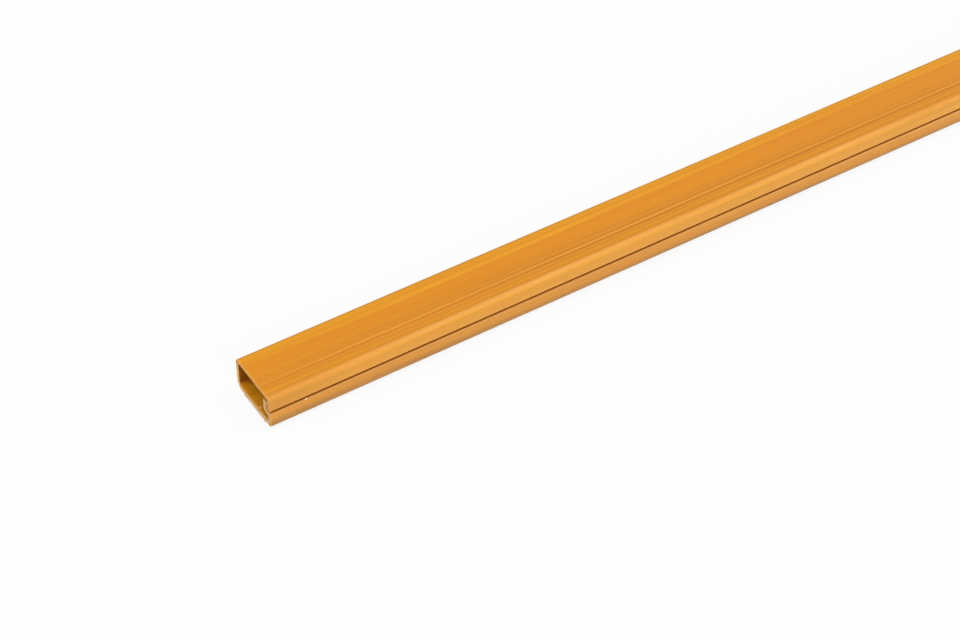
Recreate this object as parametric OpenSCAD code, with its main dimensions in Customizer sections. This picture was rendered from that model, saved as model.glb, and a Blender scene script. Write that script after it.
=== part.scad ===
// Self-adhesive mini cable trunking: one length of extruded PVC channel whose lid
// hangs on a film hinge along the far edge and clips shut along the near edge.
// X runs along the length, +Y is the hinge side, -Y the clip side, +Z up.
// The origin is under the middle of the length, on the face the liner lies on.

/* [Stock] */
// Length the trunking is sold in
stock_len = 1000; // [100:10:3000]

/* [Channel] */
// Width over the two side walls
body_w = 20; // [16:0.5:40]
// Height of the closed profile, without the tape
body_h = 11.3; // [10.5:0.1:25]
// Thickness of the side walls
wall_t = 1.3; // [0.8:0.05:1.5]
// Thickness of the floor
floor_t = 1.5; // [0.8:0.05:1.8]
// Outer radius of the bottom corner on the hinge side
far_foot_r = 2.6; // [1:0.1:3.5]
// Outer radius of the bottom corner on the clip side
near_foot_r = 0.6; // [0.4:0.1:1.5]

/* [Lid] */
// Thickness of the lid plate
lid_t = 0.95; // [0.7:0.05:1.1]
// Outer radius of the lid's long edge on the clip side
lid_edge_r = 1.25; // [0.6:0.05:1.6]
// Thickness of the lid's side flange
flange_t = 1.3; // [1:0.05:1.5]

/* [Hinge] */
// Thickness of the film that joins lid and far wall
film_t = 0.35; // [0.2:0.05:0.5]
// Outer radius of the film when the lid is shut
film_r = 1.3; // [1.1:0.05:1.8]

/* [Clip] */
// Height of the ledge under the seam, above the underside of the floor
ledge_h = 5.6; // [4.8:0.05:6.5]
// Width of the seam between the ledge and the flange's foot
seam_gap = 0.7; // [0.4:0.05:0.9]
// Height of the ledge's lip above its underside at the clip wall
ledge_t = 1.15; // [1:0.05:1.4]
// How much the ledge's top falls from its outer lip to the clip wall
ledge_fall = 0.4; // [0.1:0.05:0.5]
// How much lower the ledge's underside lies at the side wall than at the clip wall
ledge_drop = 0.7; // [0.3:0.05:1]
// Distance from the near face to the inner face of the clip wall
clip_inset = 3.9; // [3.7:0.05:5]
// Thickness of the clip wall
clip_t = 1.5; // [1.1:0.05:1.6]
// Height of the hook on the flange's foot
hook_h = 0.7; // [0.6:0.05:0.9]
// How far the hook stands in from the flange
hook_reach = 0.55; // [0.4:0.05:0.65]
// Height of the bead along the top of the clip wall
bead_h = 1; // [0.8:0.05:1.2]
// How far the hook lies under the bead when the lid is shut
clip_bite = 0.2; // [0.1:0.05:0.25]
// Play between the hook's top and the bead's underside
clip_play = 0.8; // [0.6:0.05:1]

/* [Tape] */
// Width of the foam tape under the floor
tape_w = 12; // [8:0.5:15]
// Thickness of the foam tape
tape_t = 0.8; // [0.5:0.1:1.5]
// How far the release liner stands out past the tape on each side
liner_lap = 0.5; // [0.1:0.1:1]
// Thickness of the release liner
liner_t = 0.12; // [0.08:0.02:0.3]

/* [Hidden] */

// Facets in each rounded corner of a section
corner_steps = 7;
// Small radii that break the free edges of the walls
edge_break = 0.2;
// Inside radii where walls meet
inner_r = 0.45;
// Nose radius of hook and bead, as a share of their height
nose_share = 0.45;

// Heights, from the liner's underside up
floor_z = liner_t + tape_t;
channel_z = floor_z + floor_t;
top_z = floor_z + body_h;
lid_z = top_z - lid_t;
ledge_z = floor_z + ledge_h;
flange_z = ledge_z + seam_gap;
hook_top_z = flange_z + hook_h;
bead_z = hook_top_z + clip_play;
clip_top_z = bead_z + bead_h;

// Places across the width
near_y = -body_w / 2;
far_y = body_w / 2;
flange_y = near_y + flange_t;
hook_y = flange_y + hook_reach;
bead_y = hook_y - clip_bite;
clip_in_y = near_y + clip_inset;
clip_out_y = clip_in_y - clip_t;

// The film's centre, where the lid plate ends and the far wall stops
film_y = far_y - film_r;
film_z = top_z - film_r;

pvc_wood = [0.88, 0.61, 0.25];
pvc_film = [0.80, 0.54, 0.22];
foam_white = [0.93, 0.93, 0.90];
liner_paper = [0.86, 0.84, 0.76];

function unit(v) = v / norm(v);

// Arc of radius r that rounds the corner q between its neighbours p and n
function corner_arc(p, q, n, r) =
    let (
        u = unit(p - q),
        w = unit(n - q),
        half = acos(u * w) / 2,
        centre = q + unit(u + w) * r / sin(half),
        first = q + u * r / tan(half) - centre,
        last = q + w * r / tan(half) - centre,
        from = atan2(first.y, first.x),
        turn = atan2(last.y, last.x) - from,
        sweep = turn > 180 ? turn - 360 : turn < -180 ? turn + 360 : turn
    )
    [for (i = [0 : corner_steps]) let (a = from + sweep * i / corner_steps) centre + r * [cos(a), sin(a)]];

// Outline through corners [y, z, radius], each sharp or rounded
function rounded(corners) =
    let (count = len(corners))
    [for (i = [0 : count - 1])
        let (
            p = corners[(i + count - 1) % count],
            q = corners[i],
            n = corners[(i + 1) % count]
        )
        each q[2] > 0 ? corner_arc([p.x, p.y], [q.x, q.y], [n.x, n.y], q[2]) : [[q.x, q.y]]];

// A section in the YZ plane, drawn out along the whole length
module extrusion() {
    rotate([90, 0, 90])
        linear_extrude(stock_len, center = true)
            children();
}

// Floor, far wall, near wall, ledge and the beaded clip wall, extruded as one
module base_channel() {
    bead_nose_r = bead_h * nose_share;
    bead_root_r = min(inner_r, clip_out_y - bead_y - bead_nose_r);
    color(pvc_wood)
        extrusion()
            polygon(rounded([
                [near_y, floor_z, near_foot_r],
                [far_y, floor_z, far_foot_r],
                [far_y, film_z, 0],
                [far_y - wall_t, film_z, edge_break],
                [far_y - wall_t, channel_z, far_foot_r - wall_t],
                [near_y + wall_t, channel_z, inner_r],
                [near_y + wall_t, ledge_z - ledge_t - ledge_drop, inner_r],
                [clip_in_y, ledge_z - ledge_t, ledge_t],
                [clip_in_y, clip_top_z, inner_r],
                [bead_y, clip_top_z, bead_nose_r],
                [bead_y, bead_z, bead_nose_r],
                [clip_out_y, bead_z, bead_root_r],
                [clip_out_y, ledge_z - ledge_fall, inner_r],
                [near_y, ledge_z, edge_break]
            ]));
}

// Plate and side flange with the hook along its foot
module lid() {
    hook_nose_r = hook_h * nose_share;
    hook_root_r = min(inner_r, hook_reach - hook_nose_r);
    color(pvc_wood)
        extrusion()
            polygon(rounded([
                [near_y, flange_z, edge_break],
                [hook_y, flange_z, hook_nose_r],
                [hook_y, hook_top_z, hook_nose_r],
                [flange_y, hook_top_z, hook_root_r],
                [flange_y, lid_z, inner_r],
                [film_y, lid_z, edge_break],
                [film_y, top_z, 0],
                [near_y, top_z, lid_edge_r]
            ]));
}

// Thin bend of the same plastic from the far wall's top into the lid plate
module film_hinge() {
    color(pvc_film)
        extrusion()
            translate([film_y, film_z])
                intersection() {
                    difference() {
                        circle(film_r, $fn = 64);
                        circle(film_r - film_t, $fn = 64);
                    }
                    square(film_r + film_t);
                }
}

// Foam tape stuck along the middle of the underside
module adhesive_tape() {
    color(foam_white)
        translate([-stock_len / 2, -tape_w / 2, liner_t])
            cube([stock_len, tape_w, tape_t]);
}

// Peel-off paper on the tape's open side
module release_liner() {
    color(liner_paper)
        translate([-stock_len / 2, -tape_w / 2 - liner_lap, 0])
            cube([stock_len, tape_w + 2 * liner_lap, liner_t]);
}

base_channel();
lid();
film_hinge();
adhesive_tape();
release_liner();
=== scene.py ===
# %% [markdown]
# # Self-adhesive cable trunking
# This lesson dresses a metre of wood-look mini trunking: an extruded PVC channel with a lid
# on a film hinge, shut and lying on its tape. The solids come from the CAD model and keep their
# shape and place. What is left to do here is the camera, the light, the finish of every
# surface, and the film that has to flex when the lid opens.

# %% Load the solids
from math import atan2, cos, pi, radians, sin

import bpy
from mathutils import Matrix, Vector


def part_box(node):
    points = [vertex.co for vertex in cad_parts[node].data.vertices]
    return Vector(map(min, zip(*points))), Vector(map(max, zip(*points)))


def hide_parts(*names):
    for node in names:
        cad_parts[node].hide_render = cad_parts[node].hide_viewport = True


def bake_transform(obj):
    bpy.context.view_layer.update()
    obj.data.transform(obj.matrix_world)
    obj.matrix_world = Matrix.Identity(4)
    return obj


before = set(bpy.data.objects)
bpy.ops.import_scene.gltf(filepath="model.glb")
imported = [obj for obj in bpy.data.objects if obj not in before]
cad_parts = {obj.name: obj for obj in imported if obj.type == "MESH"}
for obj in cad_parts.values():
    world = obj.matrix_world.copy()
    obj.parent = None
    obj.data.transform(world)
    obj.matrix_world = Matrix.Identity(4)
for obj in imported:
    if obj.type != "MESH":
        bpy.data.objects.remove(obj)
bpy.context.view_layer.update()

MM = 0.001
print("nodes:", sorted(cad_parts))

# %% [markdown]
# ## Sizes that everything else follows
# Each piece knows its own box, so the places used below are read from the solids instead of being
# typed in twice. The part lies along X, its hinge is on the +Y side, its clip on the -Y side, and
# the sawn end that the camera sees is at the lowest X.

# %% Read the sizes from the solids
lid_low, lid_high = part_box("lid")
base_low, base_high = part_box("base_channel")
film_low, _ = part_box("film_hinge")

end_x = lid_low.x
length = lid_high.x - lid_low.x
near_y = lid_low.y
far_y = base_high.y
top_z = lid_high.z
print("length %.0f mm, width %.1f mm, height %.2f mm" % (
    length / MM, (far_y - near_y) / MM, top_z / MM))

# %% [markdown]
# ## Camera
# The photograph is a product shot through a long lens, from above and in front of the sawn end.
# A camera is pinned down by its direction, its lens, and one known point of the object: here the
# near top corner of the sawn end, with the pixel that it falls on and how deep it lies. The frame
# is 960 by 640, so the focal length in pixels follows from the sensor's width. Fitting it this way
# leaves nothing to drag about by eye.

# %% Place the camera
PHOTO_W, PHOTO_H = 960, 640
CORNER_PIXEL = (268.9, 400.4)
CORNER_DEPTH = 0.7062
HEADING = radians(32.436)
DROP = radians(44.5)
ROLL = radians(0.227)
LENS_MM = 93.5
SENSOR_MM = 36.0
CLIP_START = 0.01

forward = Vector((sin(HEADING) * cos(DROP), cos(HEADING) * cos(DROP), -sin(DROP)))
level_right = forward.cross(Vector((0, 0, 1))).normalized()
level_up = level_right.cross(forward)
right = level_right * cos(ROLL) + level_up * sin(ROLL)
up = level_up * cos(ROLL) - level_right * sin(ROLL)

focal_px = LENS_MM / SENSOR_MM * PHOTO_W
ray = (forward
       + right * (CORNER_PIXEL[0] - PHOTO_W / 2) / focal_px
       - up * (CORNER_PIXEL[1] - PHOTO_H / 2) / focal_px)
eye = Vector((end_x, near_y, top_z)) - ray * CORNER_DEPTH
turn = Matrix((right, up, -forward)).transposed().to_4x4()

bpy.ops.object.select_all(action="DESELECT")
bpy.ops.object.camera_add(location=eye)
camera = bpy.context.object
camera.name = "camera"
camera.matrix_world = Matrix.Translation(eye) @ turn
camera.data.sensor_fit = "HORIZONTAL"
camera.data.sensor_width = SENSOR_MM
camera.data.lens = LENS_MM
camera.data.clip_start = CLIP_START
bpy.context.scene.camera = camera
print("camera at", [round(v, 4) for v in eye])

# %% [markdown]
# ## Floor
# The trunking lies on white paper. A white floor throws a lot of light up on the near side, so its
# own colour is a real pale white. To the camera and to reflections most of that white is a glow,
# so the ground reads as clean paper while the shadow beside the trunking still shows. The helpers
# here start a material and wire its nodes: one feeds a socket, one does a sum, and one tells what
# is looked at straight or in a reflection.

# %% Lay the white floor
FLOOR_SIZE = 14.0
FLOOR_DROP = 0.05 * MM
FLOOR_WHITE = 0.85
GLOW_SHARE = 0.9


def new_material(name):
    """A fresh node material; returns it with its tree, its Principled shader and its output."""
    material = bpy.data.materials.new(name)
    material.use_nodes = True
    tree = material.node_tree
    return material, tree, tree.nodes["Principled BSDF"], tree.nodes["Material Output"]


def feed(tree, socket, item):
    """Sets a socket to a number or colour, or links another node's output to it."""
    if isinstance(item, (int, float, tuple)):
        socket.default_value = item
    else:
        tree.links.new(item, socket)


def maths(tree, operation, *inputs):
    """A Math node with numbers or outputs on its inputs; returns its output."""
    node = tree.nodes.new("ShaderNodeMath")
    node.operation = operation
    for socket, item in zip(node.inputs, inputs):
        feed(tree, socket, item)
    return node.outputs[0]


def seen_directly(tree):
    """An output that is 1 for what the camera, a reflection or a clear material looks at."""
    path = tree.nodes.new("ShaderNodeLightPath").outputs
    glossy = maths(tree, "MAXIMUM", path["Is Camera Ray"], path["Is Glossy Ray"])
    return maths(tree, "MAXIMUM", glossy, path["Is Transmission Ray"])


bpy.ops.object.select_all(action="DESELECT")
bpy.ops.mesh.primitive_plane_add(size=FLOOR_SIZE, location=(0, 0, -FLOOR_DROP))
floor = bpy.context.object
floor.name = "studio_floor"

paper, tree, shader, output = new_material("floor_paper")
shader.inputs["Base Color"].default_value = (FLOOR_WHITE, FLOOR_WHITE, FLOOR_WHITE, 1)
shader.inputs["Roughness"].default_value = 1.0
shader.inputs["Specular IOR Level"].default_value = 0.0
glow = tree.nodes.new("ShaderNodeEmission")
glow.inputs["Color"].default_value = (1, 1, 1, 1)
glow.inputs["Strength"].default_value = 1.0
share = tree.nodes.new("ShaderNodeMixShader")
tree.links.new(maths(tree, "MULTIPLY", seen_directly(tree), GLOW_SHARE), share.inputs["Fac"])
tree.links.new(shader.outputs[0], share.inputs[1])
tree.links.new(glow.outputs[0], share.inputs[2])
tree.links.new(share.outputs[0], output.inputs["Surface"])
floor.data.materials.append(paper)
print("floor", FLOOR_SIZE, "m across, white", FLOOR_WHITE)

# %% [markdown]
# ## Surround
# A studio is bright overhead and dim at the sides. The surround follows that: its level climbs
# from the horizon to the zenith. What the camera and reflections see of it is plain white. A Map
# Range node makes such a climb, and nearly every mask further down, so it gets a helper.

# %% Hang the surround
HORIZON_LEVEL = 0.12
ZENITH_LEVEL = 0.42


def spread(tree, value, low, high, to_low=0.0, to_high=1.0, interpolation="LINEAR"):
    """A Map Range node that takes low..high to to_low..to_high; returns its output."""
    node = tree.nodes.new("ShaderNodeMapRange")
    node.interpolation_type = interpolation
    for label, item in (("Value", value), ("From Min", low), ("From Max", high),
                        ("To Min", to_low), ("To Max", to_high)):
        feed(tree, node.inputs[label], item)
    return node.outputs[0]


world = bpy.data.worlds.new("studio_surround")
bpy.context.scene.world = world
world.use_nodes = True
sky = world.node_tree
direction = sky.nodes.new("ShaderNodeTexCoord")
height = sky.nodes.new("ShaderNodeSeparateXYZ")
sky.links.new(direction.outputs["Generated"], height.inputs[0])
climb = spread(sky, height.outputs["Z"], 0.0, 1.0, HORIZON_LEVEL, ZENITH_LEVEL)
level = spread(sky, seen_directly(sky), 0.0, 1.0, climb, 1.0)
sky.links.new(level, sky.nodes["Background"].inputs["Strength"])
sky.nodes["Background"].inputs["Color"].default_value = (1, 1, 1, 1)
bpy.context.scene.view_settings.view_transform = "Standard"
print("surround from", HORIZON_LEVEL, "to", ZENITH_LEVEL)

# %% [markdown]
# ## Lamps
# The bright line along the near edge is the picture of a lamp, so it tells where the lamp hung:
# the edge is rounded, and the line sits a quarter of the way over it, which puts the lamp almost
# overhead. That also leaves the seam dark. A weak lamp in front opens the near side. One on the
# left reaches the sawn end and the floor just inside it; it hangs towards the hinge side, so the
# inner face of the far wall stays in the dark.

# %% Hang the lamps


def soft_lamp(name, place, aim, size, watts):
    """A large area lamp at place, turned to face the point aim."""
    bpy.ops.object.select_all(action="DESELECT")
    bpy.ops.object.light_add(type="AREA", location=place)
    lamp = bpy.context.object
    lamp.name = name
    lamp.data.shape = "RECTANGLE"
    lamp.data.size, lamp.data.size_y = size
    lamp.data.energy = watts
    lamp.rotation_euler = (Vector(aim) - Vector(place)).to_track_quat("-Z", "Y").to_euler()
    return lamp


lamps = (
    soft_lamp("overhead_lamp", place=(0.0, -0.12, 1.85), aim=(0.0, 0.0, top_z),
              size=(2.8, 0.5), watts=21.8),
    soft_lamp("front_lamp", place=(0.6, -2.4, 0.9), aim=(0.0, 0.0, top_z),
              size=(4.0, 1.6), watts=35.5),
    soft_lamp("end_lamp", place=(-2.0, 0.7, 1.5), aim=(end_x, 0.0, top_z),
              size=(1.0, 1.0), watts=14),
)
print("lamps:", [lamp.name for lamp in lamps])

# %% [markdown]
# ## Film hinge
# Lid and far wall are one extrusion, thinned to a film where they meet so that it can bend. The
# CAD model has it as a stiff quarter bend. Here it has to flex, so it is made again: a strip as
# thin as the film lies on the top of the wall and is spun a quarter turn up into the lid's edge.
# Spinning keeps the thickness even, and its steps are the lines along which it bends. Each point
# also keeps its share of the way round the bend, so that the finish can follow the film while it
# flexes.

# %% Spin the film
FILM_T = 0.35 * MM
FILM_STEPS = 12
QUARTER_TURN = pi / 2
MERGE_REACH = 0.001 * MM
SMOOTH_UP_TO = radians(30)
BEND_NAME = "bend"

bpy.ops.object.select_all(action="DESELECT")
bpy.ops.mesh.primitive_plane_add(size=1.0, location=(0, far_y - FILM_T / 2, film_low.z))
film = bpy.context.object
film.name = "film_bend"
film.scale = (length, FILM_T, 1)
bpy.ops.object.transform_apply(location=True, rotation=True, scale=True)
bpy.ops.object.mode_set(mode="EDIT")
bpy.ops.mesh.select_all(action="SELECT")
bpy.ops.mesh.spin(steps=FILM_STEPS, angle=-QUARTER_TURN,
                  center=(0, film_low.y, film_low.z), axis=(1, 0, 0))
bpy.ops.mesh.select_all(action="SELECT")
bpy.ops.mesh.remove_doubles(threshold=MERGE_REACH)
bpy.ops.mesh.normals_make_consistent(inside=False)
bpy.ops.object.mode_set(mode="OBJECT")
bpy.ops.object.shade_smooth_by_angle(angle=SMOOTH_UP_TO)

bend = film.data.attributes.new(BEND_NAME, "FLOAT", "POINT")
for point, turned in zip(film.data.vertices, bend.data):
    turned.value = atan2(point.co.z - film_low.z, point.co.y - film_low.y) / QUARTER_TURN

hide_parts("film_hinge")
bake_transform(film)
across = [v.co.y / MM for v in film.data.vertices]
heights = [v.co.z / MM for v in film.data.vertices]
print("film from y %.2f to %.2f mm, z %.2f to %.2f mm, %d faces" % (
    min(across), max(across), min(heights), max(heights), len(film.data.polygons)))

# %% [markdown]
# ## Streaks drawn out along the length
# Wood-look PVC has no pores and no printed picture. Granules of darker and lighter plastic are fed
# to the extruder together, and they smear into streaks that run the whole length. A noise that is
# stretched along X does the same: it hardly changes over centimetres along the part, and is sharp
# across it. Many surfaces need it at different scales, so it is a node group.

# %% Build the streak group


def new_group(name, inputs, outputs):
    """A shader node group with named value sockets; returns it with its input and output nodes."""
    group = bpy.data.node_groups.new(name, "ShaderNodeTree")
    for label, start in inputs:
        socket = group.interface.new_socket(label, in_out="INPUT", socket_type="NodeSocketFloat")
        socket.default_value = start
    for label in outputs:
        group.interface.new_socket(label, in_out="OUTPUT", socket_type="NodeSocketFloat")
    return group, group.nodes.new("NodeGroupInput"), group.nodes.new("NodeGroupOutput")


def noise(tree, vector, scale):
    """A Noise texture over the given places; returns its 0 to 1 output."""
    node = tree.nodes.new("ShaderNodeTexNoise")
    node.inputs["Scale"].default_value = scale
    tree.links.new(vector, node.inputs["Vector"])
    return node.outputs["Fac"]


streak_group, group_in, group_out = new_group(
    "drawn_streaks", (("Along", 3.0), ("Across", 400.0), ("Shift", 0.0)), ("Streak",))
place = streak_group.nodes.new("ShaderNodeTexCoord")
stretch = streak_group.nodes.new("ShaderNodeCombineXYZ")
for socket, label in zip(stretch.inputs, ("Along", "Across", "Across")):
    streak_group.links.new(group_in.outputs[label], socket)
drawn = streak_group.nodes.new("ShaderNodeVectorMath")
drawn.operation = "MULTIPLY_ADD"
streak_group.links.new(place.outputs["Object"], drawn.inputs[0])
streak_group.links.new(stretch.outputs[0], drawn.inputs[1])
streak_group.links.new(group_in.outputs["Shift"], drawn.inputs[2])
streak_group.links.new(noise(streak_group, drawn.outputs[0], 1.0), group_out.inputs["Streak"])
print("group:", streak_group.name)

# %% [markdown]
# ## Single lines
# On the lid a few streaks stand out: a broad amber one along the hinge, and thin brown and pale
# ones near the clip. Along the long edges there are also pale lines, which are painted highlights.
# Each is a line at its own distance from the middle or the floor, with a soft edge. One small group
# makes the mask of such a line.

# %% Build the line group
line_group, group_in, group_out = new_group(
    "long_line",
    (("Across", 0.0), ("Place", 0.0), ("Half Width", 0.001), ("Strength", 1.0)),
    ("Mask",))
given = group_in.outputs
away = maths(line_group, "ABSOLUTE",
             maths(line_group, "SUBTRACT", given["Across"], given["Place"]))
fade = spread(line_group, away, given["Half Width"], 0.0, interpolation="SMOOTHSTEP")
line_group.links.new(maths(line_group, "MULTIPLY", fade, given["Strength"]),
                     group_out.inputs["Mask"])
print("group:", line_group.name)

# %% [markdown]
# ## Depth behind the outer skin
# Inside the channel and in the seam the plastic gets a painted shade, darker than outside, and it
# is rougher. To tell inside from outside, this group measures how far a point lies behind a
# rounded box: the two outer side faces and one outer plate, which is the lid's top or the channel's
# underside. The radius keeps the rounded corners from counting as inside.

# %% Build the depth group
depth_group, group_in, group_out = new_group(
    "behind_skin",
    (("Y", 0.0), ("Z", 0.0), ("Near", -0.01), ("Far", 0.01),
     ("Plate", 0.0), ("Up", 1.0), ("Radius", 0.001)),
    ("Depth",))
given = group_in.outputs
radius = given["Radius"]
from_near = maths(depth_group, "SUBTRACT", given["Y"], given["Near"])
from_far = maths(depth_group, "SUBTRACT", given["Far"], given["Y"])
from_side = maths(depth_group, "MINIMUM", from_near, from_far)
from_plate = maths(depth_group, "MULTIPLY", given["Up"],
                   maths(depth_group, "SUBTRACT", given["Plate"], given["Z"]))
sideways = maths(depth_group, "MAXIMUM", 0.0, maths(depth_group, "SUBTRACT", radius, from_side))
outwards = maths(depth_group, "MAXIMUM", 0.0, maths(depth_group, "SUBTRACT", radius, from_plate))
reach = maths(depth_group, "SQRT", maths(
    depth_group, "MULTIPLY_ADD", sideways, sideways,
    maths(depth_group, "MULTIPLY", outwards, outwards)))
depth_group.links.new(maths(depth_group, "SUBTRACT", radius, reach), group_out.inputs["Depth"])
print("group:", depth_group.name)

# %% [markdown]
# ## Specks
# A few pale specks sit on the channel: bits of swarf from the saw that were pressed into the soft
# edge. A speck is a small ragged spot, so its mask is the distance from its middle, made uneven by
# a fine noise.

# %% Build the speck group
RAGGED_SCALE = 3500.0
RAGGED_SHARE = 0.9
SPECK_RIM = 1.55
SPECK_CORE = 1.15

speck_group, group_in, group_out = new_group(
    "speck", (("X", 0.0), ("Y", 0.0), ("Z", 0.0), ("Size", 0.0004)), ("Mask",))
place = speck_group.nodes.new("ShaderNodeTexCoord")
middle = speck_group.nodes.new("ShaderNodeCombineXYZ")
for socket, label in zip(middle.inputs, "XYZ"):
    speck_group.links.new(group_in.outputs[label], socket)
gap = speck_group.nodes.new("ShaderNodeVectorMath")
gap.operation = "DISTANCE"
speck_group.links.new(place.outputs["Object"], gap.inputs[0])
speck_group.links.new(middle.outputs[0], gap.inputs[1])
ragged = noise(speck_group, place.outputs["Object"], RAGGED_SCALE)
share_out = maths(speck_group, "DIVIDE", gap.outputs["Value"], group_in.outputs["Size"])
uneven = maths(speck_group, "MULTIPLY_ADD", ragged, RAGGED_SHARE, share_out)
fade = spread(speck_group, uneven, SPECK_RIM, SPECK_CORE, interpolation="SMOOTHSTEP")
speck_group.links.new(fade, group_out.inputs["Mask"])
print("group:", speck_group.name)

# %% [markdown]
# ## Mixing tones
# Every finish below is made in one way: a mask says where a tone goes, and the tone is mixed in
# there. Colours are written as a screen shows them, because that is how they are read off a
# photograph. A noise seldom leaves its middle range, so that range is what gets spread over two
# tones.

# %% Helpers that mix tones
NOISE_RANGE = (0.3, 0.7)


def srgb(red, green, blue):
    """An 8-bit screen colour as the linear colour that a shader takes."""
    def linear(value):
        value /= 255
        return value / 12.92 if value <= 0.04045 else ((value + 0.055) / 1.055) ** 2.4
    return (linear(red), linear(green), linear(blue), 1.0)


def mix_colour(tree, amount, first, second):
    """A colour Mix node; returns its colour output."""
    node = tree.nodes.new("ShaderNodeMix")
    node.data_type = "RGBA"
    for index, item in ((0, amount), (6, first), (7, second)):
        feed(tree, node.inputs[index], item)
    return node.outputs[2]


def place_group(tree, group, **values):
    """Places a node group with a number or output for each input; returns its first output."""
    node = tree.nodes.new("ShaderNodeGroup")
    node.node_tree = group
    for label, item in values.items():
        feed(tree, node.inputs[label.replace("_", " ")], item)
    return node.outputs[0]


def streaks(tree, along, across, shift):
    """The streak group at one scale; returns its 0 to 1 output."""
    return place_group(tree, streak_group, Along=along, Across=across, Shift=shift)


def patches(tree, scale, low=0.0, high=1.0):
    """Streaks at one scale, spread from low to high."""
    return spread(tree, streaks(tree, *scale), *NOISE_RANGE, low, high)


print("noise is spread from", NOISE_RANGE)

# %% [markdown]
# ## Reading places
# Besides the groups, a mask goes by where a point lies and which way its face looks. Both are read
# in the piece's own space, so the finish stays put when the lid swings over. The distance from the
# nearer sawn end is asked for often, because saw and hands leave their marks there. Relief of a few
# hundredths of a millimetre is too fine to model, so a Bump node only tilts the way the surface
# seems to face.

# %% Helpers that read places and raise relief


def read_surface(tree):
    """Where a point lies, as one vector and as X, Y and Z, and which way its face looks."""
    coords = tree.nodes.new("ShaderNodeTexCoord")
    where = tree.nodes.new("ShaderNodeSeparateXYZ")
    tree.links.new(coords.outputs["Object"], where.inputs[0])
    facing = tree.nodes.new("ShaderNodeSeparateXYZ")
    tree.links.new(coords.outputs["Normal"], facing.inputs[0])
    return coords.outputs["Object"], where.outputs, facing.outputs


def from_the_cut(tree, where):
    """How far a point lies from the nearer sawn end."""
    return maths(tree, "SUBTRACT", length / 2, maths(tree, "ABSOLUTE", where["X"]))


def raise_relief(tree, shader, height, strength, distance):
    """Gives the shader's surface a fine relief from a height."""
    bump = tree.nodes.new("ShaderNodeBump")
    bump.inputs["Strength"].default_value = strength
    bump.inputs["Distance"].default_value = distance
    tree.links.new(height, bump.inputs["Height"])
    tree.links.new(bump.outputs[0], shader.inputs["Normal"])


print("cuts at x %.0f and %.0f mm" % (-length / 2 / MM, length / 2 / MM))

# %% [markdown]
# ## Sawn ends
# The saw leaves the ends rough and a little pale. Its scratches lean a little: a noise that is
# squeezed to thin leaning lines gives them. The rim of the cut gets a painted shade, and the end of
# the far wall is the palest. On the skin beside the cut the saw throws up a narrow burr, and its
# pale line is partly the burr and partly a painted highlight along the edge.

# %% Helpers for the sawn ends
SAW_LEAN = (radians(20), 0, 0)
SAW_SQUEEZE = (300, 700, 4500)
PAINTED_RIM_SHADE = srgb(176, 124, 66)
RIM_DEPTHS = (0.45 * MM, 0.05 * MM)
RIM_SHARE = 0.5
PALE_CUT = srgb(250, 222, 172)
PALE_FROM, PALE_TO = 2.6 * MM, 1.4 * MM
PALE_SHARE = 0.45
# Pale burr colour beside a cut, partly a painted highlight; it also paints the highlights on the
# lip and the flange's foot.
BURR_AND_HIGHLIGHT = srgb(240, 184, 112)
BURR_HIGHLIGHT_WIDTH = 0.3 * MM
BURR_HIGHLIGHT_CORE = 0.4 * BURR_HIGHLIGHT_WIDTH
BURR_HIGHLIGHT_SHARE = 0.7


def saw_marks(tree, point):
    """The scratches that the saw leaves across an end; returns their 0 to 1 output."""
    lean = tree.nodes.new("ShaderNodeMapping")
    lean.inputs["Rotation"].default_value = SAW_LEAN
    lean.inputs["Scale"].default_value = SAW_SQUEEZE
    tree.links.new(point, lean.inputs["Vector"])
    return noise(tree, lean.outputs[0], 1.0)


def sawn_colour(tree, marks, where, depth, tones):
    """The colour of a sawn end: two tones along the marks, the painted shade on the rim and the far
    wall.
    """
    colour = mix_colour(tree, spread(tree, marks, *NOISE_RANGE), *tones)
    # Painted shade on the rim of the cut.
    rim = spread(tree, depth, *RIM_DEPTHS, 0.0, RIM_SHARE)
    colour = mix_colour(tree, rim, colour, PAINTED_RIM_SHADE)
    far_wall = spread(tree, where["Y"], far_y - PALE_FROM, far_y - PALE_TO, 0.0, PALE_SHARE)
    return mix_colour(tree, far_wall, colour, PALE_CUT)


def add_burr_and_highlight(tree, colour, where):
    """The narrow burr beside a cut, pale partly as burr and partly as a painted highlight."""
    # The pale line beside the cut is partly the burr and partly a painted highlight.
    burr_and_highlight = spread(tree, from_the_cut(tree, where), BURR_HIGHLIGHT_WIDTH, BURR_HIGHLIGHT_CORE, 0.0, BURR_HIGHLIGHT_SHARE)
    return mix_colour(tree, burr_and_highlight, colour, BURR_AND_HIGHLIGHT)


print("burr_and_highlight", BURR_HIGHLIGHT_WIDTH / MM, "mm wide")

# %% [markdown]
# ## What all the plastic shares
# Lid, channel and film are one plastic, so they share the way from an outer colour to a whole
# finish. Fine brown streaks run through the skin. The inside gets a painted shade, browner and
# darker on its walls than on its yellower floor, and it is less glossy. Then come the specks, the
# burr with its painted highlight, and the sawn ends; a face that looks along X is a sawn end. The
# fine streaks and the saw marks also give the relief.

# %% Helpers for the plastic
BROWN = srgb(176, 104, 16)
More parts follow.
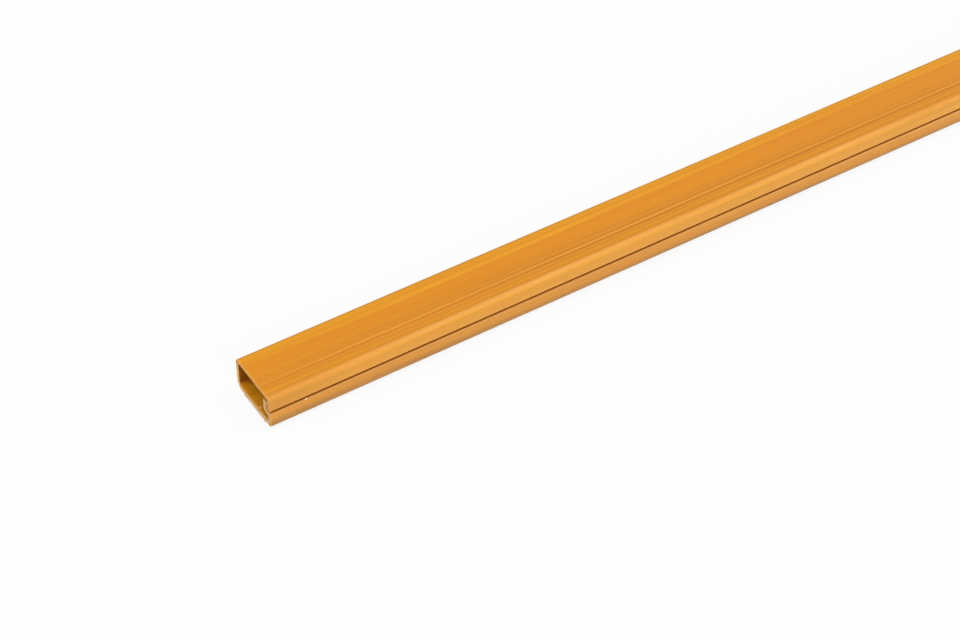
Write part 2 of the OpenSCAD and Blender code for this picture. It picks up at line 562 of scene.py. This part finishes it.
# Painted shade: the inside tones, darker on the walls than on the floor.
SHADED_INSIDE_WALL = (srgb(168, 100, 16), srgb(184, 112, 20))
SHADED_INSIDE_FLOOR = (srgb(212, 139, 17), srgb(231, 160, 25))
BROAD_STREAKS = (2.5, 350.0, 7.0)
FINE_STREAKS = (14.0, 1500.0, 0.0)
FINE_BROWN = (0.5, 0.75, 0.0, 0.22)
INSIDE_DEPTHS = (0.2 * MM, 0.6 * MM)
FLOOR_FACING = (0.3, 0.8)
SKIN_ROUGHNESS = (0.28, 0.36)
INSIDE_ROUGHER = 0.15
SAWN_ROUGHER = 0.3
PLASTIC_SPECULAR = 0.23
RELIEF_STRENGTH = 0.25
RELIEF_DEPTH = 0.02 * MM


def shaded_inside_colour(tree, broad, facing):
    """The painted shade of the inside, darker on its walls than on its floor."""
    patchy = spread(tree, broad, *NOISE_RANGE)
    return mix_colour(tree, spread(tree, facing["Z"], *FLOOR_FACING),
                      mix_colour(tree, patchy, *SHADED_INSIDE_WALL),
                      mix_colour(tree, patchy, *SHADED_INSIDE_FLOOR))


def finish_plastic(tree, shader, skin, sawn_tones, depth, specks=()):
    """Takes an outer colour to a whole PVC finish: colour, gloss and relief."""
    point, where, facing = read_surface(tree)
    broad = streaks(tree, *BROAD_STREAKS)
    fine = streaks(tree, *FINE_STREAKS)
    inside = spread(tree, depth, *INSIDE_DEPTHS)
    is_end = maths(tree, "GREATER_THAN", maths(tree, "ABSOLUTE", facing["X"]), 0.5)
    marks = saw_marks(tree, point)

    colour = mix_colour(tree, spread(tree, fine, *FINE_BROWN), skin, BROWN)
    # Painted shade inside the channel and in the seam.
    colour = mix_colour(tree, inside, colour, shaded_inside_colour(tree, broad, facing))
    for x, y, z, size, tint in specks:
        speck = place_group(tree, speck_group, X=x * MM, Y=y * MM, Z=z * MM, Size=size * MM)
        colour = mix_colour(tree, speck, colour, tint)
    colour = add_burr_and_highlight(tree, colour, where)
    sawn = sawn_colour(tree, marks, where, depth, sawn_tones)
    tree.links.new(mix_colour(tree, is_end, colour, sawn), shader.inputs["Base Color"])

    rough = spread(tree, broad, *NOISE_RANGE, *SKIN_ROUGHNESS)
    rough = maths(tree, "MULTIPLY_ADD", inside, INSIDE_ROUGHER, rough)
    rough = maths(tree, "MULTIPLY_ADD", is_end, SAWN_ROUGHER, rough)
    tree.links.new(rough, shader.inputs["Roughness"])
    shader.inputs["Specular IOR Level"].default_value = PLASTIC_SPECULAR
    raise_relief(tree, shader, maths(tree, "MULTIPLY_ADD", marks, is_end, fine),
                 RELIEF_STRENGTH, RELIEF_DEPTH)


print("plastic roughness", SKIN_ROUGHNESS, "outside")

# %% [markdown]
# ## Grain of the lid
# The lid's top carries the grain. Its ground is orange, a little browner towards the clip, and the
# lines lie over it, each with its place across the lid, its half width, its tint and its strength.
# No streak runs dead straight in a real extrusion: each line sways in a long slow wave of its own,
# ripples a little, and comes and goes along the length. Close to a sawn end, where hands have
# rubbed the lid, the brown and pale lines are faint and the amber by the clip is clearer.

# %% Draw the lid's grain
FAR_GROUND = (srgb(215, 133, 26), srgb(224, 142, 31))
NEAR_GROUND = (srgb(210, 133, 29), srgb(219, 141, 34))
GROUND_STREAKS = (3.0, 260.0, 11.0)
GROUND_CHANGE = (-1.0 * MM, 0.2 * MM)
AMBER = srgb(225, 153, 28)
LIGHT_AMBER = srgb(235, 162, 34)
PALE = srgb(238, 166, 66)
RIPPLE_STREAKS = (30.0, 120.0, 3.0)
RIPPLE_WIDTH = 0.5 * MM
SWAY_LENGTH = 500 * MM
LINE_STREAKS = (16.0, 90.0)
LINE_SHIFT, LINE_SHIFT_STEP = 20.0, 5
LINE_FAINT, LINE_CLEAR = 0.5, 1.4
RUBBED_REACH = 45 * MM
# place and half width in mm, tint, strength, sway in mm, where along X the sway passes its middle
# in mm, and the strength at the cut as a share of the strength further in
GRAIN_LINES = (
    (8.4, 3.6, AMBER, 1.0, 0.3, -375, 1.0),
    (8.45, 0.35, BROWN, 0.16, 0.15, -300, 1.0),
    (7.15, 0.4, BROWN, 0.18, 0.2, -420, 1.0),
    (5.75, 1.2, LIGHT_AMBER, 0.7, 0.4, -375, 0.2),
    (4.6, 0.6, BROWN, 0.08, 0.4, -375, 0.0),
    (0.6, 1.5, AMBER, 0.22, 0.3, -450, 1.5),
    (-1.1, 0.5, BROWN, 0.14, -0.2, -450, 0.2),
    (-2.87, 0.4, BROWN, 0.42, -0.05, -450, 0.3),
    (-3.7, 0.45, PALE, 0.5, -0.08, -450, 0.35),
    (-4.5, 0.6, BROWN, 0.7, -0.15, -450, 0.3),
    (-5.25, 0.4, PALE, 0.16, -0.15, -420, 0.0),
    (-5.8, 0.4, BROWN, 0.2, -0.15, -400, 0.3),
    (-6.75, 0.8, AMBER, 0.5, 0.2, -330, 2.0),
    (-7.6, 0.35, BROWN, 0.26, 0.22, -330, 0.0),
)


def swayed(tree, where, place_mm, sway_mm, middle_mm):
    """Where across the lid a line runs, as its long wave carries it to and fro."""
    along = maths(tree, "SUBTRACT", where["X"], middle_mm * MM)
    wave = maths(tree, "SINE", maths(tree, "MULTIPLY", along, 2 * pi / SWAY_LENGTH))
    return maths(tree, "MULTIPLY_ADD", wave, sway_mm * MM, place_mm * MM)


def lid_grain(tree, where):
    """The colour of the lid's top: grain lines over the ground."""
    ripple = maths(tree, "SUBTRACT", streaks(tree, *RIPPLE_STREAKS), 0.5)
    rippled = maths(tree, "MULTIPLY_ADD", ripple, RIPPLE_WIDTH, where["Y"])
    ground = streaks(tree, *GROUND_STREAKS)
    colour = mix_colour(tree, spread(tree, rippled, *GROUND_CHANGE),
                        mix_colour(tree, ground, *NEAR_GROUND),
                        mix_colour(tree, ground, *FAR_GROUND))
    from_cut = from_the_cut(tree, where)
    for number, line in enumerate(GRAIN_LINES):
        place_mm, half_mm, tint, strength, sway_mm, middle_mm, at_cut = line
        scale = (*LINE_STREAKS, LINE_SHIFT + LINE_SHIFT_STEP * number)
        comes_and_goes = patches(tree, scale, LINE_FAINT * strength, LINE_CLEAR * strength)
        rubbed = spread(tree, from_cut, 0.0, RUBBED_REACH, at_cut, 1.0)
        mask = place_group(tree, line_group, Across=rippled, Half_Width=half_mm * MM,
                           Place=swayed(tree, where, place_mm, sway_mm, middle_mm),
                           Strength=maths(tree, "MULTIPLY", comes_and_goes, rubbed))
        colour = mix_colour(tree, mask, colour, tint)
    return colour


print("lid:", len(GRAIN_LINES), "grain lines")

# %% [markdown]
# ## Lid
# Over the rounded near edge the grain stops and the paler side begins. That edge carries a painted
# highlight: a pale line, stronger in some stretches than in others. The flange's foot above the
# seam gets a faint painted highlight too, and near a sawn end the side is darkened by painted
# shade. The lid keeps the shape that the CAD model gave it, so only its material is new.

# %% Finish the lid
LID_SIDE = (srgb(234, 160, 54), srgb(241, 169, 60))
LID_SAWN = (srgb(206, 147, 76), srgb(232, 174, 98))
LID_CORNER = 1.25 * MM
FOOT_PLACE, FOOT_HALF, FOOT_SHARE = 0.6 * MM, 0.5 * MM, 0.2
# Painted shade on the lid's side near a sawn end.
PAINTED_END_SHADE = srgb(206, 134, 50)
END_SHADE_REACH = (28 * MM, 4 * MM)
END_SHADE_SHARE = 0.35
EDGE_WIDTH = 1.3 * MM
# Painted highlight along the lid's rounded near edge.
PAINTED_EDGE_HIGHLIGHT = srgb(249, 191, 114)
EDGE_HIGHLIGHT_PLACE, EDGE_HIGHLIGHT_HALF = 1.05 * MM, 1.1 * MM
EDGE_HIGHLIGHT_STREAKS = (12.0, 60.0, 33.0)
EDGE_HIGHLIGHT_SHARE = (0.16, 0.4)


def behind_skin(tree, where, plate, up, corner):
    """How far a point lies behind the sides and one plate, whose outer side looks up or down."""
    return place_group(tree, depth_group, Y=where["Y"], Z=where["Z"], Near=near_y, Far=far_y,
                       Plate=plate, Up=up, Radius=corner)


def dress(node, material):
    """Puts one material on a CAD node in place of its plain one."""
    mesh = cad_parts[node].data
    mesh.materials.clear()
    mesh.materials.append(material)


lid_pvc, tree, shader, _ = new_material("lid_wood_pvc")
_, where, _ = read_surface(tree)
side = mix_colour(tree, patches(tree, BROAD_STREAKS), *LID_SIDE)
# Painted highlight: a faint pale line on the flange's foot above the seam.
flange_foot_highlight = place_group(tree, line_group, Across=where["Z"], Place=lid_low.z + FOOT_PLACE,
                        Half_Width=FOOT_HALF, Strength=FOOT_SHARE)
side = mix_colour(tree, flange_foot_highlight, side, BURR_AND_HIGHLIGHT)
# Painted shade: the side darkens towards the nearer cut.
end_shade = spread(tree, from_the_cut(tree, where), *END_SHADE_REACH, 0.0, END_SHADE_SHARE)
side = mix_colour(tree, end_shade, side, PAINTED_END_SHADE)
on_top = spread(tree, where["Y"], near_y, near_y + EDGE_WIDTH)
skin = mix_colour(tree, on_top, side, lid_grain(tree, where))
# Painted highlight: a pale line over the rounded near edge.
edge_highlight = place_group(tree, line_group, Across=where["Y"], Place=near_y + EDGE_HIGHLIGHT_PLACE,
                        Half_Width=EDGE_HIGHLIGHT_HALF, Strength=patches(tree, EDGE_HIGHLIGHT_STREAKS, *EDGE_HIGHLIGHT_SHARE))
skin = mix_colour(tree, edge_highlight, skin, PAINTED_EDGE_HIGHLIGHT)
depth = behind_skin(tree, where, plate=top_z, up=1.0, corner=LID_CORNER)
finish_plastic(tree, shader, skin, LID_SAWN, depth)
dress("lid", lid_pvc)
print("lid:", len(tree.nodes), "nodes")

# %% [markdown]
# ## Channel
# Of the channel the camera sees the lower half of the near side. It has no grain, only faint
# streaks. A pale line along the lip under the seam is a painted highlight, and a grey painted shade
# darkens the side along the foot; the painted shade reaches higher near the ends. The underside,
# which looks straight down, is left without it. The specks sit on the lip, just inside the end,
# and caught in the clip.

# %% Finish the channel
BASE_SIDE = (srgb(223, 149, 54), srgb(231, 159, 60))
BASE_SAWN = (srgb(216, 166, 104), srgb(238, 194, 132))
BASE_CORNER = 2.6 * MM
LIP_Z = 6.52 * MM
LIP_HALF, LIP_SHARE = 0.6 * MM, 0.4
# Painted shade along the foot of the channel's near side, reaching higher near the ends.
PAINTED_FOOT_SHADE = srgb(140, 112, 70)
FOOT_SHADE_REACH = (10 * MM, 150 * MM)
FOOT_SHADE_AT_END, FOOT_SHADE_FURTHER_IN = 3.2 * MM, 2.3 * MM
FOOT_SHADE_FADE = 1.6 * MM
FOOT_SHADE_FACING = (-0.95, -0.5)
FOOT_SHADE_STREAKS = (25.0, 150.0, 40.0)
FOOT_SHADE_SHARE = (0.35, 0.6)
# middle as X, Y and Z in mm, size in mm, and tint
SPECKS = (
    (-488.25, -10.0, 6.3, 0.38, srgb(255, 230, 176)),
    (-499.45, -2.65, 2.4, 0.55, srgb(255, 196, 116)),
    (-499.6, -7.7, 8.2, 1.3, srgb(246, 204, 148)),
)

base_pvc, tree, shader, _ = new_material("channel_wood_pvc")
_, where, facing = read_surface(tree)
skin = mix_colour(tree, patches(tree, BROAD_STREAKS), *BASE_SIDE)
# Painted highlight: a pale line along the lip under the seam.
lip_highlight = place_group(tree, line_group, Across=where["Z"], Place=LIP_Z - LIP_HALF,
                       Half_Width=LIP_HALF, Strength=LIP_SHARE)
skin = mix_colour(tree, lip_highlight, skin, BURR_AND_HIGHLIGHT)
# Painted shade: the side darkens towards the foot, but not on the underside.
foot_shade_top = spread(tree, from_the_cut(tree, where), *FOOT_SHADE_REACH,
                  base_low.z + FOOT_SHADE_AT_END, base_low.z + FOOT_SHADE_FURTHER_IN)
low = spread(tree, maths(tree, "SUBTRACT", foot_shade_top, where["Z"]), 0.0, FOOT_SHADE_FADE)
low = maths(tree, "MULTIPLY", low, spread(tree, facing["Z"], *FOOT_SHADE_FACING))
foot_shade = maths(tree, "MULTIPLY", low, patches(tree, FOOT_SHADE_STREAKS, *FOOT_SHADE_SHARE))
skin = mix_colour(tree, foot_shade, skin, PAINTED_FOOT_SHADE)
depth = behind_skin(tree, where, plate=base_low.z, up=-1.0, corner=BASE_CORNER)
finish_plastic(tree, shader, skin, BASE_SAWN, depth, SPECKS)
dress("base_channel", base_pvc)
print("channel: %d specks, dirt up to z %.1f mm" % (len(SPECKS), (base_low.z + FOOT_SHADE_AT_END) / MM))

# %% [markdown]
# ## Film
# The film along the far edge is darker and greyer than the lid. Towards its edges it takes the
# tones of the lid and the wall, because they are one extrusion. The share of the bend that each
# point keeps tells how far along the film it is. It is all skin, so the depth is half its thickness
# everywhere.

# %% Finish the film
FILM_TONES = (srgb(178, 124, 54), srgb(196, 140, 68))
FILM_STREAKS = (6.0, 500.0, 15.0)
AWAY_FROM_WALL = (0.0, 0.35)
AWAY_FROM_LID = (1.0, 0.9)

film_pvc, tree, shader, _ = new_material("film_wood_pvc")
attribute = tree.nodes.new("ShaderNodeAttribute")
attribute.attribute_name = BEND_NAME
way_round = attribute.outputs["Fac"]
bent = maths(tree, "MULTIPLY", spread(tree, way_round, *AWAY_FROM_WALL),
             spread(tree, way_round, *AWAY_FROM_LID))
edges = mix_colour(tree, way_round, BASE_SIDE[0], AMBER)
greyer_film = mix_colour(tree, patches(tree, FILM_STREAKS), *FILM_TONES)
skin = mix_colour(tree, bent, edges, greyer_film)
finish_plastic(tree, shader, skin, LID_SAWN, FILM_T / 2)
film.data.materials.append(film_pvc)
dress("film_hinge", film_pvc)
print("film:", film_pvc.name)

# %% [markdown]
# ## Foam tape
# The tape is white closed-cell foam with glue on both faces. Its sides show the cells as fine pits
# of uneven size, which a Voronoi pattern gives, in colour and in relief.

# %% Finish the foam tape
FOAM_WHITE = (srgb(242, 241, 235), srgb(249, 249, 246))
FOAM_PIT = srgb(230, 228, 219)
CELLS_PER_METRE = 5000.0
CLOUDS_PER_METRE = 60.0
PIT_DISTANCES = (0.1, 0.6)
FOAM_ROUGHNESS = (0.0, 0.6, 0.95, 0.75)
PIT_STRENGTH = 0.25
PIT_DEPTH = 0.03 * MM

foam, tree, shader, _ = new_material("white_foam")
point, _, _ = read_surface(tree)
cells = tree.nodes.new("ShaderNodeTexVoronoi")
cells.inputs["Scale"].default_value = CELLS_PER_METRE
tree.links.new(point, cells.inputs["Vector"])
from_middle = cells.outputs["Distance"]
pits = spread(tree, from_middle, *PIT_DISTANCES)
white = mix_colour(tree, noise(tree, point, CLOUDS_PER_METRE), *FOAM_WHITE)
tree.links.new(mix_colour(tree, pits, FOAM_PIT, white), shader.inputs["Base Color"])
tree.links.new(spread(tree, from_middle, *FOAM_ROUGHNESS), shader.inputs["Roughness"])
raise_relief(tree, shader, pits, PIT_STRENGTH, PIT_DEPTH)
dress("adhesive_tape", foam)
print("foam cells about", 1 / CELLS_PER_METRE / MM, "mm")

# %% [markdown]
# ## Release liner
# The liner is thin siliconised paper in a pale yellowish white. Paper shows fibres: short marks
# that run mostly along the web. A noise stretched along X gives them, and the silicone adds a faint
# sheen.

# %% Finish the release liner
LINER_TONES = (srgb(228, 222, 198), srgb(238, 233, 212))
LINER_FIBRE = srgb(206, 196, 166)
FIBRE_STREAKS = (300.0, 2500.0, 60.0)
FIBRE_SHARE = (0.5, 0.75, 0.0, 0.4)
MOTTLE_STREAKS = (40.0, 150.0, 80.0)
LINER_ROUGHNESS = (0.42, 0.55)
FIBRE_STRENGTH = 0.2
FIBRE_DEPTH = 0.01 * MM

liner, tree, shader, _ = new_material("liner_paper")
fibres = streaks(tree, *FIBRE_STREAKS)
sheet = mix_colour(tree, patches(tree, MOTTLE_STREAKS), *LINER_TONES)
sheet = mix_colour(tree, spread(tree, fibres, *FIBRE_SHARE), sheet, LINER_FIBRE)
tree.links.new(sheet, shader.inputs["Base Color"])
tree.links.new(patches(tree, MOTTLE_STREAKS, *LINER_ROUGHNESS), shader.inputs["Roughness"])
raise_relief(tree, shader, fibres, FIBRE_STRENGTH, FIBRE_DEPTH)
dress("release_liner", liner)
print("liner:", liner.name)
